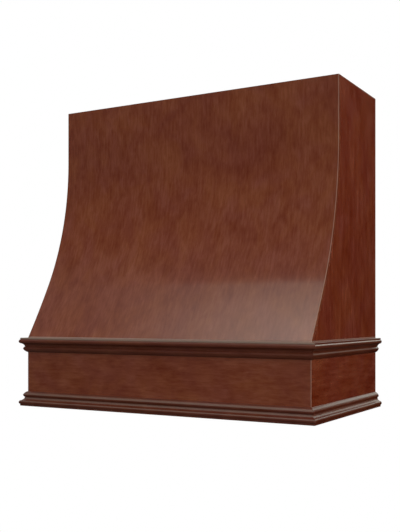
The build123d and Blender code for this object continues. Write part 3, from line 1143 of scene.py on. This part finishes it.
def floor_material():
    """A pale floor that keeps the shadow near the cover and fades into the white background.

    The camera sees it pale; what it throws back on the cover is as dim as a studio's floor."""
    material, tree, shader = new_material("pale_floor")
    seen = ray_tests(tree)[0]
    place = coordinate(tree, "Object")
    specks = noise(tree, place, (9.0, 9.0, 9.0), detail=4.0, roughness=0.6)
    colour = mixed(tree, seen, floor_bounce, ramp(tree, specks, floor_tones))
    fill(tree, shader, {"Base Color": colour, "Roughness": 0.9, "Specular IOR Level": 0.0})
    flat = scaled(tree, place, (1.0, 1.0, 0.0))
    length = add_node(tree, "ShaderNodeVectorMath", {0: flat}, operation="LENGTH")
    fade = window(tree, length.outputs["Value"], *floor_fade, floor_least_fade, 1.0)
    plain = add_node(tree, "ShaderNodeEmission", {"Color": white, "Strength": 1.0})
    share = product(tree, fade, seen)
    values = {0: share, 1: shader.outputs[0], 2: plain.outputs[0]}
    both = add_node(tree, "ShaderNodeMixShader", values)
    output = next(node for node in tree.nodes if node.type == "OUTPUT_MATERIAL")
    fill(tree, output, {"Surface": both.outputs[0]})
    return material


floor.data.materials.append(floor_material())

# ---- what the lacquer mirrors: lights in a dim studio, as directions from the cover ----
# A span is the start and the end of a light's rise or fall: in the x, y or z of a direction, in
# its x less its z, or in its dot product with one of the three ways.
backdrop_way = (0.0, 0.92, 0.39)
corner_light_way = (0.91, -0.41, 0.0)
overhead_tilt = (0.0, 1.0, 0.66)
sky_level = 0.79
studio_warmth = (0.90, 0.97, 0.88, 1.0)
front_dimness = 0.16
back_dimness = 0.005
dimming_span = (-0.2, 0.4)
overhead_peak = 3.1
overhead_span = (0.015, 0.12)
overhead_end_span = (0.16, 0.3)
overhead_left_span = (-0.64, -0.37)
overhead_height_span = (0.4, 0.62)
overhead_glow = 0.24
glow_span = (-0.3, 0.12)
backdrop_span = (0.86, 0.93)
backdrop_levels = (1.4, 2.6)
backdrop_across_span = (-0.1, 0.15)
backdrop_right_span = (-0.14, -0.06)
backdrop_upper_level = 0.85
backdrop_upper_span = (0.92, 0.95)
ceiling_level = 2.0
ceiling_span = (0.5, 0.68)
ceiling_height_span = (0.55, 0.7)
corner_light_level = 0.9
corner_light_span = (0.70, 0.86)


def towards(tree, way, aim):
    """A direction's dot product with aim."""
    values = {0: way, 1: aim}
    return add_node(tree, "ShaderNodeVectorMath", values, operation="DOT_PRODUCT").outputs["Value"]


def mixed_value(tree, factor, first, second):
    """first where factor is 0 and second where it is 1."""
    node = add_node(tree, "ShaderNodeMix", {0: factor, 2: first, 3: second}, data_type="FLOAT")
    return node.outputs[0]


def mirrored_studio(tree, way, parts):
    """How bright the studio is in a reflection.

    It is dim before the cover and dark behind it. Overhead a long light fades to the left, with a
    weaker glow round it. Behind and above is a backdrop that only the mouldings' rounds mirror,
    over the cover a white ceiling that ledges mirror, and to the right and a little to the front
    a soft round light that the eased corners mirror."""
    dim = window(tree, parts[y_axis], *dimming_span, front_dimness, back_dimness)
    over = towards(tree, way, overhead_tilt)
    edge = window(tree, over, *overhead_span)
    across = window(tree, parts[x_axis], *overhead_left_span, 0.0, overhead_peak)
    light = product(tree, edge, window(tree, over, *overhead_end_span, 1.0, 0.0))
    glow = window(tree, over, *glow_span, 0.0, overhead_glow)
    high = window(tree, parts[z_axis], *overhead_height_span)
    overhead = product(tree, high, math_of(tree, "MULTIPLY_ADD", light, across, glow))
    past = math_of(tree, "SUBTRACT", parts[x_axis], parts[z_axis])
    backdrop = product(
        tree,
        window(tree, towards(tree, way, backdrop_way), *backdrop_span),
        window(tree, parts[x_axis], *backdrop_across_span, *backdrop_levels),
        window(tree, past, *backdrop_right_span, 1.0, 0.0),
        window(tree, parts[y_axis], *backdrop_upper_span, backdrop_upper_level, 1.0),
    )
    ceiling = window(tree, over, *ceiling_span, 0.0, ceiling_level)
    ceiling = product(tree, ceiling, window(tree, parts[z_axis], *ceiling_height_span))
    upright = towards(tree, way, corner_light_way)
    upright = window(tree, upright, *corner_light_span, 0.0, corner_light_level)
    rear = math_of(tree, "MAXIMUM", backdrop, ceiling)
    lights = math_of(tree, "MAXIMUM", math_of(tree, "ADD", dim, overhead), rear)
    return math_of(tree, "MAXIMUM", lights, upright)


def studio_world():
    """White for the camera, a plain sky that lights the cover, and the studio that it mirrors."""
    world = bpy.data.worlds.new("studio")
    bpy.context.scene.world = world
    world.use_nodes = True
    tree = world.node_tree
    tree.nodes.clear()
    way = coordinate(tree, "Generated")
    room = mirrored_studio(tree, way, parts_of(tree, way))
    seen, mirrored = ray_tests(tree)
    level = mixed_value(tree, mirrored, sky_level, room)
    level = mixed_value(tree, seen, level, 1.0)
    colour = mixed(tree, mirrored, white, studio_warmth)
    colour = mixed(tree, seen, colour, white)
    background = add_node(tree, "ShaderNodeBackground", {"Color": colour, "Strength": level})
    add_node(tree, "ShaderNodeOutputWorld", {"Surface": background.outputs[0]})


def direction_angles(way):
    """The turns that point a lamp's -Z along way, keeping its X level."""
    across = math.hypot(way[0], way[1])
    return (math.atan2(across, -way[2]), 0, math.atan2(-way[0], way[1]))


def softbox(name, centre, target, width, depth, radiance):
    """An area lamp whose face glows at a radiance: its power is 4 times area times radiance."""
    lamp = bpy.data.lights.new(name, "AREA")
    lamp.shape = "RECTANGLE"
    lamp.size = width
    lamp.size_y = depth
    lamp.energy = 4 * width * depth * radiance
    holder = add_object(name, lamp)
    holder.location = centre
    holder.rotation_euler = direction_angles(np.array(target, float) - np.array(centre, float))
    holder.visible_camera = False
    holder.visible_glossy = False


studio_world()
for name, centre, target, width, depth, radiance in (
    ("key_softbox", (-0.9, -1.2, 2.2), (0.0, -0.35, 0.4), 2.5, 1.5, 1.65),
    ("front_softbox", (0.4, -1.8, 0.0), (0.0, -0.5, 0.1), 1.6, 0.8, 1.15),
    ("right_softbox", (2.8, -0.6, 1.2), (0.45, -0.2, 0.4), 2.4, 2.4, 2.4),
    ("back_softbox", (-0.4, 3.0, 1.6), (0.0, 0.0, 0.5), 2.0, 2.0, 1.2),
):
    softbox(name, centre, target, width, depth, radiance)

# ---- the photo's camera: level, turned to the left, its lens's axis off the picture's middle ----
image_width = 400
image_height = 532
focal_pixels = 845.02
axis_x = 205.01
axis_y = 315.31
camera_place = (1.26168, -2.43662, 0.27047)
camera_heading = 0.51798

camera_data = bpy.data.cameras.new("camera")
camera_data.sensor_width = 36.0
camera_data.lens = focal_pixels * camera_data.sensor_width / image_height
camera_data.shift_x = (image_width / 2 - axis_x) / image_height
camera_data.shift_y = (axis_y - image_height / 2) / image_height
camera = add_object("camera", camera_data)
camera.location = camera_place
camera.rotation_euler = (math.pi / 2, 0, camera_heading)
bpy.context.scene.camera = camera
bpy.context.scene.view_settings.view_transform = "Standard"
